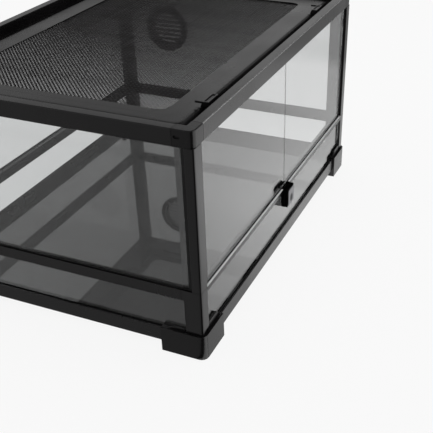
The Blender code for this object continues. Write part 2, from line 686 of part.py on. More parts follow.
def build_door_catch(place, origin, leaf_end):
    """The catch block on the inner face of the left door, beside the meeting line."""
    back = GLASS / 2 + GAP
    plan = rectangle(leaf_end - 25 * MM, leaf_end - 0.5 * MM, back, back + 5 * MM)
    body = prism(plan, place, 108.6 * MM, 117.6 * MM)
    high = 117.6 * MM
    tip = place(leaf_end - 25 * MM, 0, 0).x
    round_edges(body, lambda co: near(co.x, tip) and near(co.z, high), 4 * MM, 4)
    make_node("door_catch", body, "black_moulding", origin=origin)


def build_lock():
    """Housing, face plate, turning cylinder and the bolt that rises before the doors."""
    pocket = 11.8 * MM
    shell = side_prism(
        "front", rectangle(LOCK_FRONT, GROOVE_OUTER, LOCK_BOTTOM, LOCK_TOP), -LOCK_HALF, LOCK_HALF)
    front = -HALF_DEPTH + LOCK_FRONT
    round_edges(shell, lambda co: near(co.y, front), 1.6 * MM, 2)
    housing = make_node("lock_housing", shell, "black_moulding")
    hollow = rectangle(GAP, GROOVE_OUTER + 1 * MM, 79 * MM, LOCK_TOP + 1 * MM)
    cut(housing, side_prism("front", hollow, -pocket, pocket))
    for start, end in LOCK_SLOTS:
        slot = rectangle(start, end, LOCK_TOP - 3 * MM, LOCK_TOP + 1 * MM)
        cut(housing, side_prism("front", slot, -pocket, pocket))
    waist = rectangle(*LOCK_WAIST, LOCK_BOTTOM - 1 * MM, LOCK_TOP + 1 * MM)
    for sign in (-1, 1):
        sides = sorted((sign * (LOCK_HALF - 0.6 * MM), sign * (LOCK_HALF + 1 * MM)))
        cut(housing, side_prism("front", waist, *sides))
    centre = on_side("front", 0, 0, LOCK_AXIS_HEIGHT)

    def along_bore(radius, start, end):
        foot = centre + Vector((0, start, 0))
        length = end - start
        outline = [(0, 0), (radius, 0), (radius, length), (0, length)]
        return lathe(outline, foot, (0, 1, 0), 24)

    cut(housing, along_bore(CYLINDER_RADIUS + GAP, -10 * MM, 2 * MM))
    plate_half = LOCK_HALF - 1.7 * MM
    levels = (LOCK_BOTTOM + 1.6 * MM, LOCK_TOP - 2 * MM)
    front = rectangle(LOCK_FACE_FRONT, LOCK_FRONT - GAP, *levels)
    face = side_prism("front", front, -plate_half, plate_half)
    for x in (-plate_half, plate_half):
        for z in levels:
            round_edges(face, lambda co: near(co.x, x) and near(co.z, z), 3 * MM, 3)
    plate = make_node("lock_face", face, "grey_plate")
    cut(plate, along_bore(CYLINDER_RADIUS + GAP, -10 * MM, 2 * MM))
    core = make_node(
        "lock_cylinder", along_bore(CYLINDER_RADIUS, -8.2 * MM, 0), "dark_steel",
        origin=centre, smooth=True)
    slit = rectangle(-9 * MM, -4 * MM, LOCK_AXIS_HEIGHT - 4 * MM, LOCK_AXIS_HEIGHT + 4 * MM)
    cut(core, side_prism("front", slit, -0.8 * MM, 0.8 * MM))
    bolt = side_prism("front", rectangle(0.6 * MM, 3.2 * MM, 80 * MM, 104 * MM), -11.4 * MM, 11.4 * MM)
    make_node("lock_bolt", bolt, "black_moulding", origin=on_side("front", 0, 1.9 * MM, 92 * MM))


def lid_loop(inset, radius, height):
    half_x = HALF_LENGTH - LID_INSET - inset
    half_y = HALF_DEPTH - LID_INSET - inset
    return [(x, y, height) for x, y in rounded_rectangle(half_x, half_y, radius)]


def build_lid():
    """The lift-off lid: a moulded frame with a rounded brow, and the net in its inner slot."""
    top = LID_TOP
    slot_low, slot_high = LID_BOTTOM + 2.0 * MM, LID_BOTTOM + 3.6 * MM
    window = LID_WINDOW_RADIUS
    deep = LID_BAR - MESH_BITE
    reach, rise = LID_BROW
    brow = []
    for step in range(5):
        angle = step * math.pi / 8
        inset = reach * (1 - math.cos(angle))
        brow.append(lid_loop(inset, LID_RADIUS + inset / 2, top - rise * (1 - math.sin(angle))))
    frame = ring_solid([
        lid_loop(0, LID_RADIUS, LID_BOTTOM),
        *brow,
        lid_loop(LID_BAR - 1 * MM, window, top),
        lid_loop(LID_BAR, window, top - 1 * MM),
        lid_loop(LID_BAR, window, slot_high),
        lid_loop(deep, window, slot_high),
        lid_loop(deep, window, slot_low),
        lid_loop(LID_BAR, window, slot_low),
        lid_loop(LID_BAR, window, LID_BOTTOM)])
    lid = make_node("lid_frame", frame, "black_moulding")
    for _, side, (low, high) in clip_places():
        seat = rectangle(LID_INSET + 0.6 * MM, LID_INSET + 12 * MM, LID_BOTTOM + 0.6 * MM, top)
        join(lid, side_prism(side, seat, low - 1 * MM, high + 1 * MM))
    half_x = HALF_LENGTH - LID_INSET - deep - 2 * MM
    half_y = HALF_DEPTH - LID_INSET - deep - 2 * MM
    net = woven_net(half_x, half_y, LID_BOTTOM + 2.8 * MM, 0.8 * MM)
    trim_net_corners(net, half_x, half_y)
    make_node("lid_mesh", net, "black_wire")


def woven_net(half_x, half_y, height, thickness):
    """A flat net: a grid of wires fused where they cross, with square gaps."""
    columns, rows = MESH_CELLS
    bm = bmesh.new()
    bmesh.ops.create_grid(bm, x_segments=columns, y_segments=rows, size=1)
    bmesh.ops.scale(bm, verts=bm.verts, vec=(half_x, half_y, 1))
    gaps = bmesh.ops.inset_individual(bm, faces=bm.faces[:], thickness=MESH_WIRE / 2)
    kept = set(gaps["faces"])
    cells = [face for face in bm.faces if face not in kept]
    bmesh.ops.delete(bm, geom=cells, context="FACES_ONLY")
    sheet = bmesh.ops.extrude_face_region(bm, geom=bm.faces[:])["geom"]
    raised = [item for item in sheet if isinstance(item, bmesh.types.BMVert)]
    bmesh.ops.translate(bm, verts=raised, vec=(0, 0, thickness))
    bmesh.ops.translate(bm, verts=bm.verts, vec=(0, 0, height - thickness / 2))
    return bm


def trim_net_corners(bm, half_x, half_y):
    """Cut the net's four corners off, inside the frame's round window."""
    leg = 9 * MM
    for x_sign in (-1, 1):
        for y_sign in (-1, 1):
            point = Vector((x_sign * half_x, y_sign * (half_y - leg), 0))
            normal = Vector((x_sign, y_sign, 0)).normalized()
            everything = bm.verts[:] + bm.edges[:] + bm.faces[:]
            bmesh.ops.bisect_plane(
                bm, geom=everything, plane_co=point, plane_no=normal, clear_outer=True)
            rim = [edge for edge in bm.edges if edge.is_boundary]
            bmesh.ops.holes_fill(bm, edges=rim)


def build_clips():
    """Slide latches on the lid: tongue, hollow thumb block and a thin thumb lever."""
    base = LID_TOP + GAP
    for name, side, (low, high) in clip_places():
        section = [
            (TONGUE_TIP, base), (TONGUE_TIP, base + TONGUE_HEIGHT), (CLIP_SHOULDER, base + TONGUE_HEIGHT),
            (CLIP_SHOULDER, CLIP_TOP), (CLIP_BACK - 3 * MM, CLIP_TOP), (CLIP_BACK, base)]
        origin = on_side(side, (low + high) / 2, 24 * MM, base)
        body = side_prism(side, section, low, high)
        clip = make_node(name, body, "black_moulding", origin=origin)
        wall = 2.6 * MM
        hollow = rectangle(CLIP_SHOULDER + wall, CLIP_BACK - 4.6 * MM, base + wall, FRAME_TOP)
        cut(clip, side_prism(side, hollow, low + wall, high - wall))
        lever = rectangle(CLIP_BACK - 4 * MM, THUMB_REACH, CLIP_TOP - wall, CLIP_TOP)
        outer_end = low if low < 0 else high
        inner_end = outer_end + math.copysign(wall, -outer_end)
        join(clip, side_prism(side, lever, min(outer_end, inner_end), max(outer_end, inner_end)))


def build_terrarium():
    clear_scene()
    for corner in CORNERS:
        build_foot(corner)
        build_lower_post(corner)
        build_upper_post(corner)
        build_top_corner(corner)
    for side in SIDES:
        build_base_rail(side)
        build_top_rail(side)
        if side != "front":
            build_mid_rail(side)
            build_seal(side)
    build_sill()
    build_floor()
    build_panes()
    for side in ("left", "right"):
        build_vent(side)
    build_door("left", -1)
    build_door("right", 1)
    build_lock()
    build_lid()
    build_clips()


build_terrarium()
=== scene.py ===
# %% [markdown]
# # A glass terrarium with a black knock-down frame
#
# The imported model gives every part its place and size. This script adds the camera
# and the studio, turns the sharp solids into moulded and extruded pieces with
# rounded edges, gives each one the finish of its real material, and weaves the
# screen of the lid.

# %% Load the frame
import json
import math

import bmesh
import bpy
from mathutils import Matrix, Vector

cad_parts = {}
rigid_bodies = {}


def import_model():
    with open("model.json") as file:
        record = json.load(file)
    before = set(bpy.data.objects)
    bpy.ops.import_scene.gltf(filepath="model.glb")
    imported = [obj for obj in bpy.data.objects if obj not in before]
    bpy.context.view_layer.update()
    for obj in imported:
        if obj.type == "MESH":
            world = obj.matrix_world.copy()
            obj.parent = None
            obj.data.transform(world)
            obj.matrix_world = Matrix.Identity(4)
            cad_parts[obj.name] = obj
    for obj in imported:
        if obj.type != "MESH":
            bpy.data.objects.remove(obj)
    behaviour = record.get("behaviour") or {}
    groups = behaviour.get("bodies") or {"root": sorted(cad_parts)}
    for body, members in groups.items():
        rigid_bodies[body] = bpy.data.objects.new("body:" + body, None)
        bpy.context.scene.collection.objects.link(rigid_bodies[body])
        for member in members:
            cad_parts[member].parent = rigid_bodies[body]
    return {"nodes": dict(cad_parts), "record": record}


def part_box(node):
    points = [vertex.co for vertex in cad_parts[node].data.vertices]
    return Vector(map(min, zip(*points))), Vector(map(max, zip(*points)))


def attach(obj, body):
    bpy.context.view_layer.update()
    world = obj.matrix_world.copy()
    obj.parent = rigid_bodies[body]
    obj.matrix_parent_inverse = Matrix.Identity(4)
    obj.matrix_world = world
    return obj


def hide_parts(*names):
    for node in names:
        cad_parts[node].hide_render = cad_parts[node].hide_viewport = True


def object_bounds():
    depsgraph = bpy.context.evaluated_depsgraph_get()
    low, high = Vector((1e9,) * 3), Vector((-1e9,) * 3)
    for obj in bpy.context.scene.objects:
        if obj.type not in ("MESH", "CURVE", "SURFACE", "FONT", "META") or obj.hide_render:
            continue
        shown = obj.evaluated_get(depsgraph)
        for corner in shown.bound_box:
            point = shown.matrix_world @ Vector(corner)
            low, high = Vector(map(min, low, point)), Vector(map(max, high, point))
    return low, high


MM = 0.001

for leftover in list(bpy.data.objects):
    bpy.data.objects.remove(leftover, do_unlink=True)
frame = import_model()
CAD_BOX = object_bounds()
NODES = frame["nodes"]
BODIES = frame["record"]["behaviour"]["bodies"]
BODY_OF = {node: body for body, nodes in BODIES.items() for node in nodes}
print("nodes:", len(NODES), "box:", [tuple(round(c, 4) for c in corner) for corner in CAD_BOX])

# %% [markdown]
# ## The camera
#
# A product photograph of a tank is taken from above one front corner, so that two
# sides and the lid show. The picture is a detail of a wider frame, which a shift of
# the lens gives without turning the camera, as a view camera does.

# %% Camera
VIEW_AZIMUTH = -66.36
VIEW_ELEVATION = 33.07
VIEW_ROLL = -1.08
VIEW_FROM = Vector((-0.9858, -0.5752, 0.6677))
SENSOR = 36.0
FOCAL_IN_PIXELS = 777.0
PHOTO_WIDTH = 433
LENS_CENTRE = (240.1, 250.6)

camera_data = bpy.data.cameras.new("product_camera")
camera_data.sensor_width = SENSOR
camera_data.lens = FOCAL_IN_PIXELS / PHOTO_WIDTH * SENSOR
camera_data.shift_x = (PHOTO_WIDTH / 2 - LENS_CENTRE[0]) / PHOTO_WIDTH
camera_data.shift_y = (LENS_CENTRE[1] - PHOTO_WIDTH / 2) / PHOTO_WIDTH
camera = bpy.data.objects.new("product_camera", camera_data)
bpy.context.scene.collection.objects.link(camera)
turn = Matrix.Rotation(math.radians(VIEW_AZIMUTH), 4, "Z")
turn = turn @ Matrix.Rotation(math.radians(90 - VIEW_ELEVATION), 4, "X")
turn = turn @ Matrix.Rotation(math.radians(VIEW_ROLL), 4, "Z")
camera.matrix_world = Matrix.Translation(VIEW_FROM) @ turn
bpy.context.scene.camera = camera
bpy.context.scene.view_settings.view_transform = "Standard"
print("lens:", round(camera_data.lens, 2), "mm")

# %% [markdown]
# ## Colours, shader nodes and objects
#
# Colours are picked as hex values, as a paint shop or a web page gives them. Blender
# mixes light in linear numbers, so one function converts them. A second small
# function adds a shader node with its settings and its links in one call. Shapes are
# built as a bmesh, Blender's editable mesh, and a third function turns a finished one
# into an object.

# %% Colour, node and object helpers
def colour(hex_code):
    channels = [int(hex_code[i:i + 2], 16) / 255 for i in (1, 3, 5)]
    linear = [c / 12.92 if c <= 0.04045 else ((c + 0.055) / 1.055) ** 2.4 for c in channels]
    return (*linear, 1.0)


def add_node(tree, kind, settings=None, **links):
    """Add a node. A link or a value is named for its socket: by name, with _ for a space, or by number."""
    node = tree.nodes.new(kind)
    for name, value in (settings or {}).items():
        setattr(node, name, value)
    for name, value in links.items():
        socket = node.inputs[int(name[1:])] if name[1:].isdigit() else node.inputs[name.replace("_", " ")]
        if isinstance(value, bpy.types.NodeSocket):
            tree.links.new(value, socket)
        else:
            socket.default_value = value
    return node


def blank_material(name):
    material = bpy.data.materials.new(name)
    material.use_nodes = True
    tree = material.node_tree
    tree.nodes.clear()
    output = tree.nodes.new("ShaderNodeOutputMaterial")
    return material, tree, output


def object_from(bm, name, material=None):
    mesh = bpy.data.meshes.new(name)
    bm.to_mesh(mesh)
    bm.free()
    if material:
        mesh.materials.append(material)
    made = bpy.data.objects.new(name, mesh)
    bpy.context.scene.collection.objects.link(made)
    return made


def verts_of(geometry):
    """The vertices among what a bmesh operator gives back."""
    return [item for item in geometry if isinstance(item, bmesh.types.BMVert)]


# %% [markdown]
# ## The studio floor
#
# The tank stands on white paper. A lamp strong enough to turn the paper white would
# also turn the black frame grey, so the paper shows itself white to the camera, to
# mirrors and through glass, and keeps a little of its shaded paint, which holds the
# tank's shadow. The door side of the tank mirrors the floor in front of it, and the
# picture shows how bright that floor is from place to place, so a colour ramp along
# X gives mirrors the same.

# %% Floor
FLOOR_SIZE = 12
FLOOR_DROP = 0.5 * MM
FLOOR_PAINT = "#E4E4E4"
# The share of plain white in what is seen of the paper, and its level seen through glass
FLOOR_WHITE = 0.9
FLOOR_THROUGH_GLASS = 0.80
# What mirrors find on the floor: the place along X, from 0 to 1 between two ends, and the level there
FLOOR_NEAR = -0.3
FLOOR_FAR = 0.9
FLOOR_PEAK = 1.4
FLOOR_FALL = (
    (0.03, 0.68), (0.1, 0.76), (0.21, 1.06), (0.35, 1.32),
    (0.5, 1.15), (0.67, 0.9), (0.88, 0.85), (1.0, 0.4))


def stage_object(name, bm, centre, normal=(0, 0, 1)):
    """An object of the studio, turned so that its upper side faces along the normal."""
    card = object_from(bm, name)
    card.location = centre
    if normal[2] < 1:
        card.rotation_euler = Vector(normal).to_track_quat("Z", "Y").to_euler()
    return card


def plane(name, centre, size, normal=(0, 0, 1)):
    bm = bmesh.new()
    bmesh.ops.create_grid(bm, x_segments=1, y_segments=1, size=0.5)
    bmesh.ops.scale(bm, verts=bm.verts, vec=(size[0], size[1], 1))
    return stage_object(name, bm, centre, normal)


def largest(tree, *values):
    """The largest of some values, by a chain of Math nodes."""
    total = values[0]
    for value in values[1:]:
        both = add_node(tree, "ShaderNodeMath", {"operation": "MAXIMUM"}, _0=total, _1=value)
        total = both.outputs[0]
    return total


def floor_level_in_mirrors(tree):
    where = add_node(tree, "ShaderNodeTexCoord")
    axes = add_node(tree, "ShaderNodeSeparateXYZ", Vector=where.outputs["Object"])
    reach = add_node(tree, "ShaderNodeMapRange", _0=axes.outputs["X"], _1=FLOOR_NEAR, _2=FLOOR_FAR)
    fall = add_node(tree, "ShaderNodeValToRGB", _0=reach.outputs[0])
    fall.color_ramp.interpolation = "EASE"
    while len(fall.color_ramp.elements) < len(FLOOR_FALL):
        fall.color_ramp.elements.new(0.5)
    for stop, (place, level) in zip(fall.color_ramp.elements, FLOOR_FALL):
        stop.position = place
        stop.color = (*[level / FLOOR_PEAK] * 3, 1.0)
    lit = add_node(
        tree, "ShaderNodeMath", {"operation": "MULTIPLY"}, _0=fall.outputs["Color"], _1=FLOOR_PEAK)
    return lit.outputs[0]


def studio_floor():
    """White paper that keeps the tank's shadow."""
    material, tree, output = blank_material("painted_studio_floor")
    paint = add_node(tree, "ShaderNodeBsdfDiffuse", Color=colour(FLOOR_PAINT))
    path = add_node(tree, "ShaderNodeLightPath")
    camera_ray, mirror_ray, glass_ray = (
        path.outputs[kind] for kind in ("Is Camera Ray", "Is Glossy Ray", "Is Transmission Ray"))
    mirrored = add_node(
        tree, "ShaderNodeMix", Factor=mirror_ray, _2=1.0, _3=floor_level_in_mirrors(tree))
    level = add_node(
        tree, "ShaderNodeMix", Factor=glass_ray, _2=mirrored.outputs[0], _3=FLOOR_THROUGH_GLASS)
    white = add_node(tree, "ShaderNodeEmission", Color=(1, 1, 1, 1), Strength=level.outputs[0])
    seen = largest(tree, camera_ray, mirror_ray, glass_ray)
    share = add_node(tree, "ShaderNodeMath", {"operation": "MULTIPLY"}, _0=seen, _1=FLOOR_WHITE)
    mix = add_node(
        tree, "ShaderNodeMixShader", _0=share.outputs[0], _1=paint.outputs[0], _2=white.outputs[0])
    tree.links.new(mix.outputs[0], output.inputs["Surface"])
    return material


floor = plane("studio_floor", (0, 0, -FLOOR_DROP), (FLOOR_SIZE, FLOOR_SIZE))
floor.data.materials.append(studio_floor())
print("floor:", FLOOR_SIZE, "m wide, white share", FLOOR_WHITE)

# %% [markdown]
# ## Cards for the mirrors
#
# Black plastic and glass show little of their own colour: what the eye reads is the
# room in them. A photographer shapes it with cards beside the object. These are seen
# by mirror rays only, so they light and shade nothing. Three lie on the floor and fan
# out from the tank's near corner: the dark one on the left keeps the end of the tank
# deep black, and the black and the white one draw the corner as a crisp dark line. A
# flag and a ceiling keep the sloped edges that face up near black, and a pale wall
# lights the flat tops.

# %% Mirror cards
CARD_REACH = 3.0
RIM_STEP = 45
# The fan's tip lies under the near corner, a little back from the front of the box
CARD_INSET = 20 * MM
CARD_LIFT = 1 * MM
FAN_TIP = (CAD_BOX[0].x, CAD_BOX[0].y + CARD_INSET, CARD_LIFT)
# Name, first and last bearing in degrees, level
FLOOR_CARDS = (
    ("left_card", 90, 215, 0.30),
    ("black_card", 215, 263, 0.02),
    ("white_card", 263, 300, 1.6))
# Name, centre, size, direction that it faces, level
WALL_CARDS = (
    ("dark_flag", (4.10, -1.85, 3.23), (4.2, 4.9), (-0.93, 0.37, 0), 0.02),
    ("pale_wall", (2.72, 0.83, 1.9), (0.85, 2.7), (-0.94, -0.34, 0), 0.75),
    ("dark_ceiling", (0.2, 0.2, 1.4), (2.6, 2.6), (0, 0, -1), 0.10))


def show_in_mirrors_only(card, level):
    material, tree, output = blank_material(card.name + "_felt")
    felt = add_node(tree, "ShaderNodeEmission", Color=(1, 1, 1, 1), Strength=level)
    tree.links.new(felt.outputs[0], output.inputs["Surface"])
    card.data.materials.append(material)
    card.visible_camera = False
    card.visible_diffuse = False
    card.visible_transmission = False
    card.visible_shadow = False


def fan(name, first, last):
    """A flat card between two bearings, its tip at the tank's near corner."""
    bm = bmesh.new()
    tip = bm.verts.new((0, 0, 0))
    steps = math.ceil((last - first) / RIM_STEP)
    bearings = [math.radians(first + (last - first) * step / steps) for step in range(steps + 1)]
    rim = [bm.verts.new((CARD_REACH * math.cos(b), CARD_REACH * math.sin(b), 0)) for b in bearings]
    bm.faces.new([tip] + rim)
    return stage_object(name, bm, FAN_TIP)


for name, first, last, level in FLOOR_CARDS:
    show_in_mirrors_only(fan(name, first, last), level)
for name, centre, size, normal, level in WALL_CARDS:
    show_in_mirrors_only(plane(name, centre, size, normal), level)
print("mirror cards:", len(FLOOR_CARDS) + len(WALL_CARDS))

# %% [markdown]
# ## The room and the lamps
#
# The world stands for the walls of the room. The camera sees it white, mirrors and
# glass find it about half as bright, and it gives the object a soft even light. Two
# softboxes, one above and one in front, add the faint shadow on the floor. They are
# hidden from the camera and from glass, but not from mirrors.

# %% Room and lamps
AMBIENT = 0.4
WALL_IN_MIRRORS = 0.50
WALL_THROUGH_GLASS = 0.60
# Name, place, point that it is aimed at, size, power in watts
SOFTBOXES = (
    ("overhead_softbox", (0.3, 0.5, 2.4), (0, 0, 0.2), (2.0, 1.6), 12),
    ("front_softbox", (0.9, -2.2, 1.3), (0, 0, 0.15), (1.4, 1.0), 12))

world = bpy.data.worlds.new("pale_room")
bpy.context.scene.world = world
world.use_nodes = True
world.node_tree.nodes.clear()
tree = world.node_tree
path = add_node(tree, "ShaderNodeLightPath")
mirrored = add_node(
    tree, "ShaderNodeMapRange", _0=path.outputs["Is Glossy Ray"], _3=AMBIENT, _4=WALL_IN_MIRRORS)
behind_glass = add_node(
    tree, "ShaderNodeMapRange", _0=path.outputs["Is Transmission Ray"], _3=0.0, _4=WALL_THROUGH_GLASS)
room = largest(tree, path.outputs["Is Camera Ray"], mirrored.outputs[0], behind_glass.outputs[0])
walls = add_node(tree, "ShaderNodeBackground", Color=(1, 1, 1, 1), Strength=room)
world_out = add_node(tree, "ShaderNodeOutputWorld")
tree.links.new(walls.outputs[0], world_out.inputs["Surface"])

for name, place, aim, size, power in SOFTBOXES:
    data = bpy.data.lights.new(name, "AREA")
    data.shape = "RECTANGLE"
    data.size, data.size_y = size
    data.energy = power
    lamp = bpy.data.objects.new(name, data)
    lamp.location = place
    lamp.rotation_euler = (Vector(aim) - Vector(place)).to_track_quat("-Z", "Y").to_euler()
    lamp.visible_camera = False
    lamp.visible_transmission = False
    bpy.context.scene.collection.objects.link(lamp)
print("softboxes:", len(SOFTBOXES))

# %% [markdown]
# ## Black plastic
#
# The rails and posts are extruded ABS: the die leaves a satin skin with faint
# streaks along the bar. The feet, corner blocks, lid frame and latches are injection
# moulded, with the fine sparked grain that hides finger marks. Both are the same
# black, so gloss and grain set them apart. Noise in Object coordinates keeps a real
# size in millimetres, and a Mapping node draws it out along a bar.

# %% Plastics
BLACK = ("#0F0E0F", "#141213")
# The grain and the streaks are drawn coarser than real ones, so that they show at this size
GRAIN = 0.45 * MM
STREAK = 1.1 * MM
STREAK_HEIGHT = 0.02 * MM
# Shrinking one axis of the noise to a fiftieth draws it out to lines 50 times as long
DRAWN_OUT = 0.02
# How fast tint and gloss drift over the surface, and how far the gloss goes each way
PATCHES_PER_METRE = 14.0
DULLER = 0.05
GLOSSIER = 0.04


def plastic(name, tints, roughness, ior, grain_size, grain_height, stretch=(1, 1, 1)):
    """Plastic or rubber: a colour that drifts slightly, and a fine grain in the skin."""
    material, tree, output = blank_material(name)
    where = add_node(tree, "ShaderNodeTexCoord")
    drift = add_node(
        tree, "ShaderNodeTexNoise", Vector=where.outputs["Object"], Scale=PATCHES_PER_METRE, Detail=3.0)
    shade = add_node(tree, "ShaderNodeValToRGB", _0=drift.outputs["Fac"])
    for stop, place, tint in zip(shade.color_ramp.elements, (0.3, 0.75), tints):
        stop.position = place
        stop.color = colour(tint)
    along = add_node(tree, "ShaderNodeMapping", Vector=where.outputs["Object"], Scale=stretch)
    grain = add_node(
        tree, "ShaderNodeTexNoise", Vector=along.outputs[0], Scale=1 / grain_size, Detail=2.0)
    bump = add_node(
        tree, "ShaderNodeBump", Height=grain.outputs["Fac"], Strength=0.5, Distance=grain_height)
    gloss = add_node(
        tree, "ShaderNodeMapRange", _0=drift.outputs["Fac"], _1=0.3, _2=0.7,
        _3=roughness - GLOSSIER, _4=roughness + DULLER)
    shader = add_node(
        tree, "ShaderNodeBsdfPrincipled", Base_Color=shade.outputs["Color"],
        Roughness=gloss.outputs[0], IOR=ior, Normal=bump.outputs[0])
    tree.links.new(shader.outputs[0], output.inputs["Surface"])
    return material


def extruded(name, axis, roughness=0.25):
    """Extruded ABS, its streaks running along one axis."""
    stretch = [1, 1, 1]
    stretch[axis] = DRAWN_OUT
    return plastic(name, BLACK, roughness, 1.5, STREAK, STREAK_HEIGHT, stretch)


RAIL_X = extruded("extruded_abs_lengthwise", 0)
RAIL_Y = extruded("extruded_abs_crosswise", 1)
# The posts come out of the die a little glossier, so they mirror the floor more crisply
RAIL_Z = extruded("extruded_abs_upright", 2, 0.20)
# The sparked grain breaks up the mirror image and takes some of its strength
MOULDED = plastic("grained_moulded_abs", BLACK, 0.28, 1.42, GRAIN, 0.03 * MM)
print("black plastics:", [material.name for material in (RAIL_X, RAIL_Y, RAIL_Z, MOULDED)])

# %% [markdown]
# ## A painted highlight on an edge
#
# The outer edge of the front top rail shows a thin light line, which is a highlight.
# A lamp that draws it turns the whole top white from other sides, so the highlight
# is painted into the material: within a millimetre of the edge the plastic is white
# and metallic, as bright as bare metal. The distance is worked out in Object
# coordinates, so the painted highlight follows the part.

# %% Painted highlight on the rail
# The painted highlight: how far it reaches from the edge, and its colour
HIGHLIGHT_WIDTH = 1.0 * MM
# The share of that width which is fully bright
HIGHLIGHT_SHARP = 0.7
PAINTED_HIGHLIGHT = "#FFFFFF"


def paint_edge_highlight(material, node):
    """Paint a highlight along the front top edge of a bar that runs along X."""
    tree = material.node_tree
    shader = next(item for item in tree.nodes if item.type == "BSDF_PRINCIPLED")
    low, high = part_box(node)
    where = add_node(tree, "ShaderNodeTexCoord")
    off_edge = add_node(
        tree, "ShaderNodeVectorMath", {"operation": "SUBTRACT"},
        _0=where.outputs["Object"], _1=(0, low.y, high.z))
    across = add_node(
        tree, "ShaderNodeVectorMath", {"operation": "MULTIPLY"}, _0=off_edge.outputs[0], _1=(0, 1, 1))
    away = add_node(tree, "ShaderNodeVectorMath", {"operation": "LENGTH"}, _0=across.outputs[0])
    highlight_mask = add_node(
        tree, "ShaderNodeMapRange", _0=away.outputs["Value"], _1=HIGHLIGHT_SHARP * HIGHLIGHT_WIDTH,
        _2=HIGHLIGHT_WIDTH, _3=1.0, _4=0.0)
    dull = shader.inputs["Base Color"].links[0].from_socket
    tint = add_node(
        tree, "ShaderNodeMix", {"data_type": "RGBA"}, _0=highlight_mask.outputs[0], _6=dull, _7=colour(PAINTED_HIGHLIGHT))
    tree.links.new(tint.outputs[2], shader.inputs["Base Color"])
    tree.links.new(highlight_mask.outputs[0], shader.inputs["Metallic"])


# The front top rail carries a painted highlight, white metal in its colour, along its outer edge
RAIL_FRONT_TOP = extruded("extruded_abs_painted_highlight", 0)
paint_edge_highlight(RAIL_FRONT_TOP, "top_rail_front")
print("painted edge highlight:", round(HIGHLIGHT_WIDTH / MM, 1), "mm to each side")

# %% [markdown]
# ## Glass
#
# Float glass is clear with a grey-green cast that grows with its thickness, and each
# face mirrors more of the room the flatter the eye looks at it. Real refraction in a
# closed pane gives that by itself. Lamp light is let straight through, because lamps
# reach what stands behind a thin pane with hardly a shadow. The floor pane has a
# black backing, which makes it a dark mirror, so it is a glossy black with a clear
# coat and needs no refraction.

# %% Glass materials
def float_glass(name, tint):
    """Glass that refracts for the eye and lets the light of the lamps straight through."""
    material, tree, output = blank_material(name)
    glass = add_node(
        tree, "ShaderNodeBsdfPrincipled", Base_Color=colour(tint), Roughness=0.0, IOR=1.5,
        Transmission_Weight=1.0)
    clear = add_node(tree, "ShaderNodeBsdfTransparent", Color=colour(tint))
    path = add_node(tree, "ShaderNodeLightPath")
    mix = add_node(
        tree, "ShaderNodeMixShader", _0=path.outputs["Is Shadow Ray"],
        _1=glass.outputs[0], _2=clear.outputs[0])
    tree.links.new(mix.outputs[0], output.inputs["Surface"])
    return material


def backed_glass(name, tint):
    material, tree, output = blank_material(name)
    shader = add_node(
        tree, "ShaderNodeBsdfPrincipled", Base_Color=colour(tint), Roughness=0.03, IOR=1.5,
        Coat_Weight=1.0, Coat_Roughness=0.02)
    tree.links.new(shader.outputs[0], output.inputs["Surface"])
    return material


# The tint is the slight grey that each face of a clear pane adds
PANE_GLASS = float_glass("clear_float_glass", "#F3F4F4")
# A dark mirror: crisp, but dimmer than what stands in front of it
FLOOR_GLASS = backed_glass("black_backed_float_glass", "#141414")
print("glass:", PANE_GLASS.name, FLOOR_GLASS.name)

# %% [markdown]
# ## Metal, rubber and the lock
#
# The trim along the sill is aluminium with a near-white colour that scatters light like
# paint: partly the light metal's own colour, partly a painted highlight, which keeps it
# bright even where it mirrors something dark, and it is given only a small metallic
# share. The screen is steel wire with a baked powder coat. The seals are rubber and
# silicone, and behind the trim lies a near-black strip. The lock is a black moulded
# case with a grey plate round a blackened zinc cylinder. All the blacks differ mostly
# in what they mirror: the lower the IOR, the less of the room shows in them.

# %% Metals, rubbers and the lock's finishes
# The lines that drawing leaves are finer than this, which is as fine as shows
DRAWN_LINE = 0.3 * MM
DRAWN_SPREAD = 0.06


def metal(name, tint, roughness, metallic=1.0):
    """Metal with fine drawn lines in its gloss, which run along X."""
    material, tree, output = blank_material(name)
    where = add_node(tree, "ShaderNodeTexCoord")
    along = add_node(
        tree, "ShaderNodeMapping", Vector=where.outputs["Object"], Scale=(DRAWN_OUT, 1, 1))
    lines = add_node(tree, "ShaderNodeTexNoise", Vector=along.outputs[0], Scale=1 / DRAWN_LINE)
    gloss = add_node(
        tree, "ShaderNodeMapRange", _0=lines.outputs["Fac"],
        _3=roughness - DRAWN_SPREAD, _4=roughness + DRAWN_SPREAD)
    shader = add_node(
        tree, "ShaderNodeBsdfPrincipled", Base_Color=colour(tint), Metallic=metallic,
        Roughness=gloss.outputs[0])
    tree.links.new(shader.outputs[0], output.inputs["Surface"])
    return material


# The trim is an even white from every side: partly the light metal's own colour, partly a painted
# highlight
BRIGHT_TRIM = metal("aluminium_with_painted_highlight", "#FAFAFA", 0.40, 0.2)
# Blackened zinc has no colour left but a dim mirror image
LOCK_METAL = metal("blackened_zinc_die_casting", "#060607", 0.35)
# The powder coat is a dark grey with a dull orange-peel skin
BLACK_WIRE = plastic("powder_coated_wire", ("#2C2A2B", "#333132"), 0.5, 1.45, GRAIN, 0.02 * MM)
# Moulded rubber has a matt skin that spreads what it mirrors into a haze
RUBBER = plastic("black_glazing_rubber", ("#0B0B0B", "#0F0E0E"), 0.62, 1.45, GRAIN, 0.03 * MM)
# The beads lie in the shade of pane and rail, and read as a black line
SILICONE = plastic("black_silicone_sealant", ("#040404", "#070707"), 0.6, 1.2, STREAK, 0.02 * MM)
# A near-black finish that mirrors almost nothing, for the strip behind the trim
NEAR_BLACK_STRIP = plastic("near_black_strip_finish", ("#020202", "#040404"), 0.8, 1.1, GRAIN, 0.05 * MM)
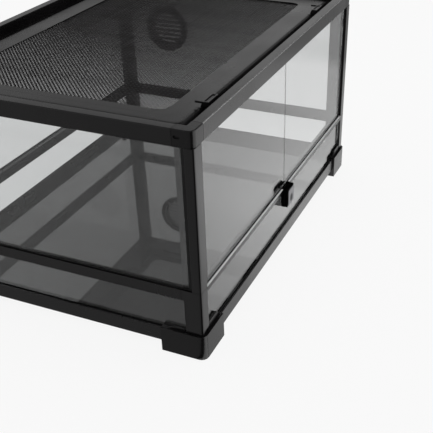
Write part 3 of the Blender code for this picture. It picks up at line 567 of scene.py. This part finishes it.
# The lock's case is the deepest black, and its plate a silky grey that stands out from it
LOCK_BLACK = plastic("black_moulded_lock_case", ("#020202", "#040404"), 0.5, 1.1, GRAIN, 0.02 * MM)
LOCK_PLATE = plastic("grey_moulded_lock_plate", ("#76767A", "#808084"), 0.35, 1.46, GRAIN, 0.02 * MM)
print("materials so far:", len(bpy.data.materials))

# %% [markdown]
# ## Rounded edges
#
# No moulded or extruded edge is sharp, and the thin line of light on it is what makes
# a part look real. Each CAD solid is copied, its loose triangles are merged back into
# flat faces, and a Bevel modifier rounds every edge that turns by more than 30 degrees.
# The lid's brow is drawn in facets, so there the modifier works from 8 degrees on. A
# Weighted Normal modifier then keeps the flat faces flat to the eye, so that only the
# rounding bends the light. Two shapes are corrected on the way: the step on the feet
# is finer than the solid's, and the thumb hollow of a latch is shallower.

# %% Edges and corrections
# The height of the step on a foot, and how far it is raised
STEP_FLOOR = 36.0 * MM
STEP_RISE = 1.1 * MM
# A latch's thumb hollow: the height of its floor in the solid, and the depth it gets here
HOLLOW_FLOOR = 2.6 * MM
HOLLOW_DEPTH = 1.2 * MM
# The end of a latch that stays as it is
TONGUE_LENGTH = 8 * MM
# Closer than this counts as the same
SAME_PLACE = 0.01 * MM
SAME_HEIGHT = 0.1 * MM
SAME_PLANE = math.radians(0.5)


def round_edges(piece, radius, segments=2, round_from=30):
    """Round every edge that turns by more than some degrees."""
    edge = piece.modifiers.new("edge_round", "BEVEL")
    edge.width = radius
    edge.segments = segments
    edge.limit_method = "ANGLE"
    edge.angle_limit = math.radians(round_from)


def adjust(bm, node):
    """Raise the step of a foot, and the floor of a latch's thumb hollow."""
    low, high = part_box(node)
    if node.startswith("foot"):
        for vert in bm.verts:
            if abs(vert.co.z - STEP_FLOOR) < SAME_HEIGHT:
                vert.co.z += STEP_RISE
    if node.startswith("lid_clip"):
        tip = low.y if "front" in node else high.y
        for vert in bm.verts:
            on_floor = abs(vert.co.z - low.z - HOLLOW_FLOOR) < SAME_HEIGHT
            if on_floor and abs(vert.co.y - tip) > TONGUE_LENGTH:
                vert.co.z = high.z - HOLLOW_DEPTH


def finished(node, material, radius, segments=2, smooth_to=40, round_from=30):
    """A copy of a CAD node with rounded edges and its own material, in the node's place."""
    bm = bmesh.new()
    bm.from_mesh(NODES[node].data)
    bmesh.ops.remove_doubles(bm, verts=bm.verts, dist=SAME_PLACE)
    bmesh.ops.dissolve_limit(
        bm, angle_limit=SAME_PLANE, use_dissolve_boundaries=False, verts=bm.verts, edges=bm.edges)
    adjust(bm, node)
    piece = object_from(bm, node + "_finished", material)
    piece.data.shade_smooth()
    piece.data.set_sharp_from_angle(angle=math.radians(smooth_to))
    round_edges(piece, radius, segments, round_from)
    flat = piece.modifiers.new("flat_faces", "WEIGHTED_NORMAL")
    flat.keep_sharp = True
    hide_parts(node)
    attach(piece, BODY_OF[node])
    return piece


# %% [markdown]
# ## One finish for each kind of part
#
# A table says what each part is made of and how round its edges are: about half a
# millimetre on most mouldings, less on an extrusion, and on glass the ground arris,
# which is one flat facet. The first line whose name fits a part is used. The net of
# the lid is left out, because it is woven further on.

# %% Finish the rigid parts
# Starts of names, material, edge radius, segments and, on faceted parts, the two angles
FINISHES = (
    (("pane_seal",), RUBBER, 0.2 * MM, 2),
    (("lid_frame",), MOULDED, 0.4 * MM, 2, 8, 8),
    (("foot", "vent", "door_catch"), MOULDED, 0.5 * MM, 2),
    (("top_corner",), MOULDED, 0.2 * MM, 2),
    (("lid_clip",), MOULDED, 0.8 * MM, 3),
    (("lower_post", "upper_post", "door_edge"), RAIL_Z, 0.25 * MM, 2),
    (("base_rail_front", "base_rail_back", "mid_rail_back"), RAIL_X, 0.4 * MM, 2),
    (("base_rail", "mid_rail"), RAIL_Y, 0.4 * MM, 2),
    (("top_rail_front",), RAIL_FRONT_TOP, 0.2 * MM, 2),
    (("top_rail_back",), RAIL_X, 0.2 * MM, 2),
    (("top_rail",), RAIL_Y, 0.2 * MM, 2),
    (("door_sill",), RAIL_X, 0.2 * MM, 2),
    (("sill_trim",), BRIGHT_TRIM, 0.15 * MM, 2),
    (("pane", "door_glass"), PANE_GLASS, 0.3 * MM, 1),
    (("floor_pane",), FLOOR_GLASS, 0.3 * MM, 1),
    (("lock_face",), LOCK_PLATE, 0.2 * MM, 2),
    (("lock_housing", "lock_bolt"), LOCK_BLACK, 0.3 * MM, 2),
    (("lock_cylinder",), LOCK_METAL, 0.2 * MM, 2),
)
parts = []
for node in sorted(NODES):
    fitting = [line for line in FINISHES if node.startswith(line[0])]
    if fitting:
        parts.append(finished(node, *fitting[0][1:]))
print("finished parts:", len(parts), "of", len(NODES))

# %% [markdown]
# ## Silicone beads
#
# The lower panes stand in the base rails with a bead of black silicone along their
# feet. The finger that smooths the bead leaves a hollow face. The bead is a small
# outline of five points, pulled along the rail in one step, which is the quickest way
# to make a bar of any section.

# %% Silicone beads
BEAD_WIDTH = 1.8 * MM
BEAD_HEIGHT = 1.6 * MM
# The bead's section: shares of its width out from the pane, and of its height
BEAD_SECTION = ((0, 0), (1, 0), (0.62, 0.2), (0.3, 0.5), (0, 1))
BEADS = {"front": (0, -1, 0), "back": (0, 1, 0), "left": (-1, 0, 0), "right": (1, 0, 0)}


def placed(name, bm, material, body):
    """A piece that the CAD model has no node for, riding a body."""
    bmesh.ops.recalc_face_normals(bm, faces=bm.faces)
    piece = object_from(bm, name, material)
    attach(piece, body)
    return piece


def sealant_bead(side, outward):
    """A bead along one base rail, from the pane's face out over the rail's top."""
    rail_low, rail_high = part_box(f"base_rail_{side}")
    pane_low, pane_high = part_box(f"pane_{side}_lower")
    out = Vector(outward)
    across = 0 if out.x else 1
    along = 1 - across
    foot = (rail_low + rail_high) / 2
    foot[across] = pane_high[across] if out[across] > 0 else pane_low[across]
    foot[along] = rail_low[along]
    foot.z = rail_high.z
    bm = bmesh.new()
    section = [
        bm.verts.new(foot + out * a * BEAD_WIDTH + Vector((0, 0, b * BEAD_HEIGHT)))
        for a, b in BEAD_SECTION]
    pulled = bmesh.ops.extrude_face_region(bm, geom=[bm.faces.new(section)], use_keep_orig=True)
    length = Vector((0, 0, 0))
    length[along] = rail_high[along] - rail_low[along]
    bmesh.ops.translate(bm, verts=verts_of(pulled["geom"]), vec=length)
    return placed(f"sealant_{side}", bm, SILICONE, "frame")


beads = [sealant_bead(side, outward) for side, outward in BEADS.items()]
print("silicone beads:", len(beads))

# %% [markdown]
# ## Draught strips
#
# Behind the bright trim, where the doors close, lies a near-black strip, which gives
# the dark line there.
# It is a bar with soft edges, so a cube is brought to its size and its edges are
# rounded by a modifier.

# %% Draught strips
STRIP_GAP = 0.4 * MM
STRIP_WIDTH = 2.2 * MM
STRIP_HEIGHT = 2.0 * MM
STRIP_DROP = 0.5 * MM
STRIP_EDGE = 0.3 * MM


def draught_strip(side):
    """A strip behind one length of the trim, a little below its top."""
    low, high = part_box(f"sill_trim_{side}")
    bm = bmesh.new()
    bmesh.ops.create_cube(bm, size=1)
    bmesh.ops.scale(bm, verts=bm.verts, vec=(high.x - low.x, STRIP_WIDTH, STRIP_HEIGHT))
    centre = Vector((
        (low.x + high.x) / 2, high.y + STRIP_GAP + STRIP_WIDTH / 2,
        high.z - STRIP_DROP - STRIP_HEIGHT / 2))
    bmesh.ops.translate(bm, verts=bm.verts, vec=centre)
    strip = placed(f"draught_strip_{side}", bm, NEAR_BLACK_STRIP, "frame")
    round_edges(strip, STRIP_EDGE)
    return strip


strips = [draught_strip(side) for side in ("left", "right")]
print("draught strips:", len(strips))

# %% [markdown]
# ## The net frame
#
# Inside the lid's window a flat frame with round corners presses the net's edge down.
# Each of its two outlines is a rectangle whose corners the bevel operator rounds, the
# bridge operator joins the two to a flat ring, and an extrusion makes it thick.

# %% Net frame
# The lid's bar is this wide, and the net frame laps over it by so much
LID_BAR = 24.5 * MM
OVERLAP = 3 * MM
# How far the frame's inner edge lies from the lid's outline, along X and along Y
NET_FRAME_REACH = (34.5 * MM, 38 * MM)
NET_FRAME_RADIUS = 14 * MM
NET_FRAME_THICK = 1.4 * MM
# It stands a hair above the bar, so that the two never share a plane
NET_FRAME_PROUD = 0.04 * MM


def rounded_outline(bm, width, depth, radius):
    """The edges of a rectangle with round corners."""
    corners = bmesh.ops.create_grid(bm, x_segments=1, y_segments=1, size=0.5)["verts"]
    bmesh.ops.scale(bm, verts=corners, vec=(width, depth, 1))
    rounded = bmesh.ops.bevel(
        bm, geom=corners, affect="VERTICES", offset=radius, segments=6, profile=0.5, material=-1)
    face = rounded["verts"][0].link_faces[0]
    edges = list(face.edges)
    bmesh.ops.delete(bm, geom=[face], context="FACES_ONLY")
    return edges


def net_frame():
    low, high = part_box("lid_frame")
    size = high - low
    bm = bmesh.new()
    edges = []
    for x, y in ((LID_BAR - OVERLAP, LID_BAR - OVERLAP), NET_FRAME_REACH):
        edges += rounded_outline(bm, size.x - 2 * x, size.y - 2 * y, NET_FRAME_RADIUS)
    ring = bmesh.ops.bridge_loops(bm, edges=edges)["faces"]
    under = bmesh.ops.extrude_face_region(bm, geom=ring, use_keep_orig=True)
    bmesh.ops.translate(bm, verts=verts_of(under["geom"]), vec=(0, 0, -NET_FRAME_THICK))
    centre = (low + high) / 2
    centre.z = high.z + NET_FRAME_PROUD
    bmesh.ops.translate(bm, verts=bm.verts, vec=centre)
    return placed("net_frame", bm, MOULDED, "lid")


clamp = net_frame()
print("net frame:", [round(side / MM, 1) for side in clamp.dimensions], "mm")

# %% [markdown]
# ## The woven screen
#
# The lid's screen is woven from black-coated wire, each wire bent over one neighbour
# and under the next. One bent wire is drawn for each direction, pulled out step by
# step, and copied at the weave's pitch, every other copy turned over. Copying twice
# as many each time keeps that quick. The corners are cut off to fit inside the frame.
# The pitch and the wire are coarser than the real ones, which the picture could not
# show, and let through the same share of light.

# %% Screen
SCREEN_PITCH = 3.0 * MM
WIRE_RADIUS = 0.42 * MM
SCREEN_CORNER = 9 * MM


def bent_wire(bm, axis, start, crossings):
    """One wire along an axis, of square section, bent up and down at each crossing."""
    ring = bmesh.ops.create_circle(bm, cap_ends=True, radius=WIRE_RADIUS, segments=4)["verts"]
    upright = Matrix.Rotation(math.pi / 2, 4, "Y" if axis == 0 else "X")
    bmesh.ops.transform(bm, matrix=upright, verts=ring)
    bmesh.ops.translate(bm, verts=ring, vec=start)
    step = Vector((0, 0, 0))
    step[axis] = SCREEN_PITCH
    height = start.z
    tip = ring[0].link_faces[0]
    for crossing in range(2 * crossings):
        pulled = bmesh.ops.extrude_face_region(bm, geom=[tip], use_keep_orig=crossing == 0)["geom"]
        tip = next(item for item in pulled if isinstance(item, bmesh.types.BMFace))
        bmesh.ops.translate(bm, verts=tip.verts, vec=step + Vector((0, 0, -2 * height)))
        height = -height


def repeat(bm, across, count):
    """Copy the wire until there are count of them, every other one turned over."""
    kinds = (bm.verts, bm.edges, bm.faces)
    per_wire = [len(kind) for kind in kinds]
    ready = 1
    while ready < count:
        batch = min(ready, count - ready)
        geometry = [
            item for kind, number in zip(kinds, per_wire) for item in list(kind)[:number * batch]]
        verts = verts_of(bmesh.ops.duplicate(bm, geom=geometry)["geom"])
        shift = Vector((0, 0, 0))
        shift[across] = ready * SCREEN_PITCH
        if ready == 1:
            bmesh.ops.scale(bm, verts=verts, vec=(1, 1, -1))
        bmesh.ops.translate(bm, verts=verts, vec=shift)
        ready += batch


def cut_corners(bm, half):
    """Cut the corners off the net, and close the wires that are cut."""
    for x_sign in (-1, 1):
        for y_sign in (-1, 1):
            corner = Vector((x_sign * half.x, y_sign * (half.y - SCREEN_CORNER), 0))
            bmesh.ops.bisect_plane(
                bm, geom=bm.verts[:] + bm.edges[:] + bm.faces[:], plane_co=corner,
                plane_no=(x_sign, y_sign, 0), clear_outer=True)
            bmesh.ops.holes_fill(bm, edges=[edge for edge in bm.edges if edge.is_boundary])


def woven_wires(name, axis):
    """All the wires of the screen that run along one axis."""
    low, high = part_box("lid_mesh")
    half = (high - low) / 2
    across = 1 - axis
    crossings = int(half[axis] / SCREEN_PITCH)
    wires = int(half[across] / SCREEN_PITCH)
    rise = WIRE_RADIUS if axis == 0 else -WIRE_RADIUS
    start = Vector((0, 0, rise if crossings % 2 == wires % 2 else -rise))
    start[axis] = -crossings * SCREEN_PITCH
    start[across] = -wires * SCREEN_PITCH
    bm = bmesh.new()
    bent_wire(bm, axis, start, crossings)
    repeat(bm, across, 2 * wires + 1)
    cut_corners(bm, half)
    bmesh.ops.translate(bm, verts=bm.verts, vec=(low + high) / 2)
    bmesh.ops.recalc_face_normals(bm, faces=bm.faces)
    screen = object_from(bm, name, BLACK_WIRE)
    screen.data.shade_smooth()
    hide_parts("lid_mesh")
    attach(screen, "lid")
    print(name + ":", 2 * wires + 1, "wires,", len(screen.data.polygons), "faces")


woven_wires("screen_warp", 0)
woven_wires("screen_weft", 1)
